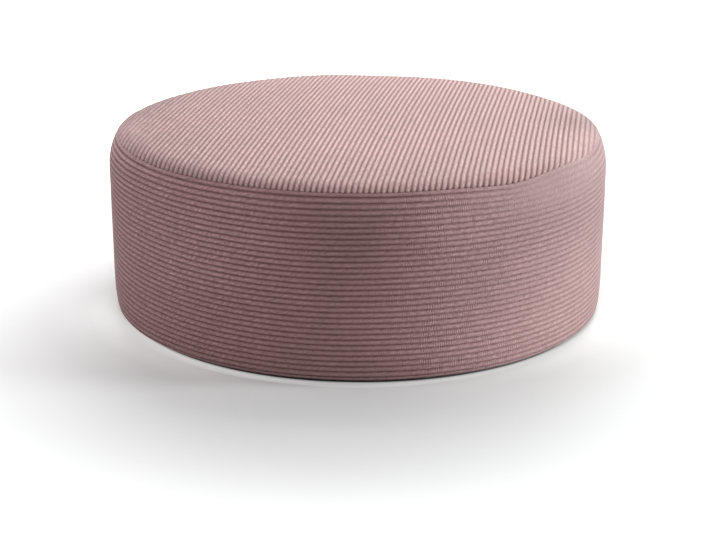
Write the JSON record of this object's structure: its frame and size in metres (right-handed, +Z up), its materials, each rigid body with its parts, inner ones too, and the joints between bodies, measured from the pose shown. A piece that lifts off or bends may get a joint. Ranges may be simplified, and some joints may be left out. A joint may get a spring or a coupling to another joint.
{
  "type": "corduroy pouf",
  "caption": "Low round upholstered pouf in wide corduroy: flat domed top with straight ridges, upright side with ridges running round it, dark base cloth.",
  "frame": {"origin": "middle of the base cloth's underside, on the floor", "axes": "+Z up, -Y the front, +X to the right as seen from the front"},
  "size_m": [1.0005, 1.0007, 0.3782],
  "materials": {
    "top_corduroy": "wide corduroy, dusty pink, soft velvety pile",
    "side_corduroy": "wide corduroy, dusty pink, soft velvety pile",
    "base_cloth": "thin nonwoven cloth, near black, matt"
  },
  "bodies": {
    "root": {"top_panel": "top_corduroy", "side_band": "side_corduroy", "base_cloth": "base_cloth"}
  },
  "joints": []
}
